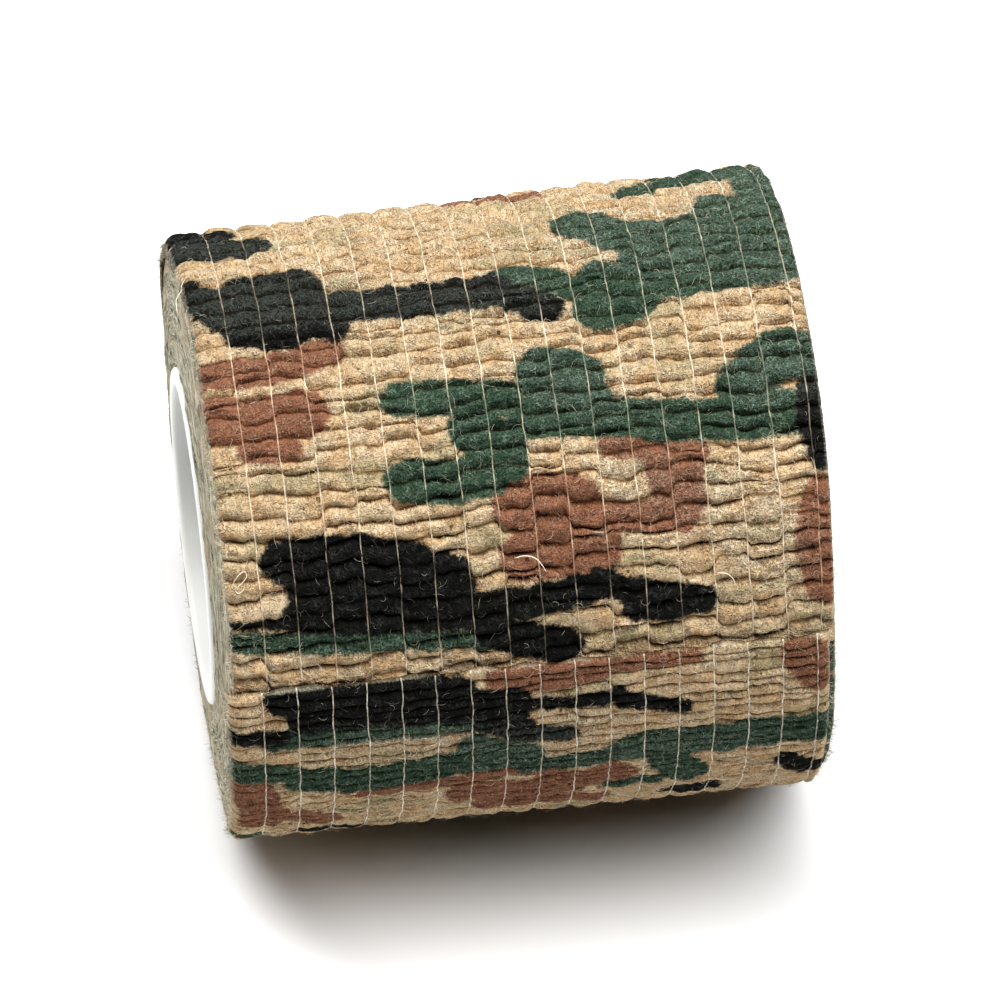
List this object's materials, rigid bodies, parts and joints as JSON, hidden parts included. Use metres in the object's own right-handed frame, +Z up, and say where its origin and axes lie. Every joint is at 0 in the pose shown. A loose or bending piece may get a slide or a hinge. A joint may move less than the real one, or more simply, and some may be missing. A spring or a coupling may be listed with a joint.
{
  "type": "self-clinging wrap tape roll",
  "caption": "Roll of crinkled elastic self-clinging wrap tape on a plastic core, lying on its side, with a free tail that peels off the front.",
  "frame": {"origin": "middle of the core's bore, on its axis, half way across the tape's width", "axes": "+X along the core's axis, +Z up with the roll lying on its side, -Y the front, where the tail lies"},
  "size_m": [0.0516, 0.0517, 0.0511],
  "materials": {
    "printed_nonwoven": "crinkled nonwoven with a four-colour camouflage print",
    "plain_nonwoven": "matt fibrous nonwoven, tacky to itself",
    "elastic_yarn": "fine covered elastic thread",
    "core_plastic": "smooth white moulded plastic"
  },
  "bodies": {
    "roll": {"core_tube": "core_plastic", "back_ply": "plain_nonwoven", "face_ply": "printed_nonwoven", "yarn_01": "elastic_yarn", "yarn_02": "elastic_yarn", "yarn_03": "elastic_yarn", "yarn_04": "elastic_yarn", "yarn_05": "elastic_yarn", "yarn_06": "elastic_yarn", "yarn_07": "elastic_yarn", "yarn_08": "elastic_yarn", "yarn_09": "elastic_yarn", "yarn_10": "elastic_yarn", "yarn_11": "elastic_yarn", "yarn_12": "elastic_yarn", "yarn_13": "elastic_yarn", "yarn_14": "elastic_yarn", "yarn_15": "elastic_yarn", "yarn_16": "elastic_yarn", "yarn_17": "elastic_yarn"},
    "tail_root": {"tail_root_back_ply": "plain_nonwoven", "tail_root_face_ply": "printed_nonwoven", "tail_root_yarns": "elastic_yarn"},
    "tail_middle": {"tail_middle_back_ply": "plain_nonwoven", "tail_middle_face_ply": "printed_nonwoven", "tail_middle_yarns": "elastic_yarn"},
    "tail_tip": {"tail_tip_back_ply": "plain_nonwoven", "tail_tip_face_ply": "printed_nonwoven", "tail_tip_yarns": "elastic_yarn"}
  },
  "joints": [
    {"name": "tail_peel", "type": "hinge", "parent": "roll", "child": "tail_root", "pos_m": [0, -0.01856, -0.01776], "axis": [1, 0, 0], "range_deg": [0, 40]},
    {"name": "tail_bend", "type": "hinge", "parent": "tail_root", "child": "tail_middle", "pos_m": [0, -0.02375, -0.00992], "axis": [1, 0, 0], "range_deg": [0, 40]},
    {"name": "tip_bend", "type": "hinge", "parent": "tail_middle", "child": "tail_tip", "pos_m": [0, -0.02578, -0.00074], "axis": [1, 0, 0], "range_deg": [0, 40]}
  ],
  "couplings": [
    {"joint": "tail_bend", "follows": "tail_peel", "ratio": 1},
    {"joint": "tip_bend", "follows": "tail_peel", "ratio": 1}
  ]
}
